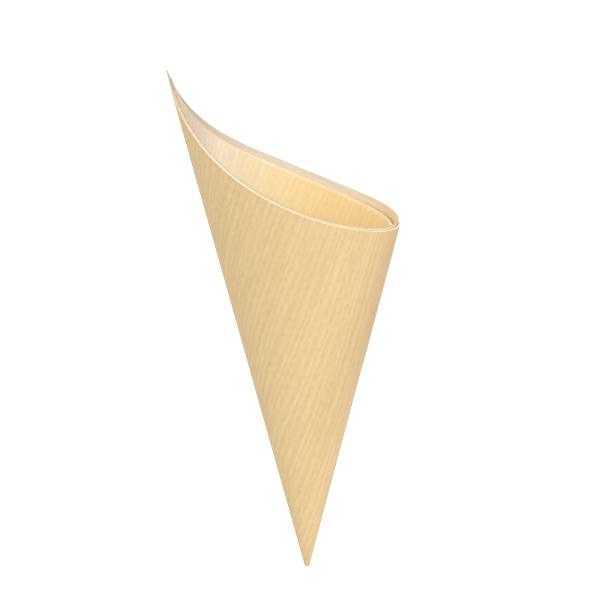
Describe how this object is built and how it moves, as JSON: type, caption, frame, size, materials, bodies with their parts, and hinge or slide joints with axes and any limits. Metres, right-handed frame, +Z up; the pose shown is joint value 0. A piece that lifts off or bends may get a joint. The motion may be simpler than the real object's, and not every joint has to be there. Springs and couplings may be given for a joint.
{
  "type": "bamboo food cone",
  "caption": "Pointed serving cone rolled from one sheet of thin pale bamboo veneer, with a slanted open mouth that rises to a tall tip, for snacks and finger food.",
  "frame": {"origin": "centre of the bounding box's base, on the surface that the cone lies on", "axes": "+X along the flat that the cone lies on, from the tall tip to the point; +Y across; +Z up, with the mouth's low side and the sheet's two cut ends uppermost. The mouth opens towards -X."},
  "size_m": [0.1798, 0.0694, 0.062],
  "materials": {
    "veneer": "unfinished sliced veneer with fine straight grain, matt"
  },
  "bodies": {
    "root": {"veneer_cone": "veneer"}
  },
  "joints": []
}
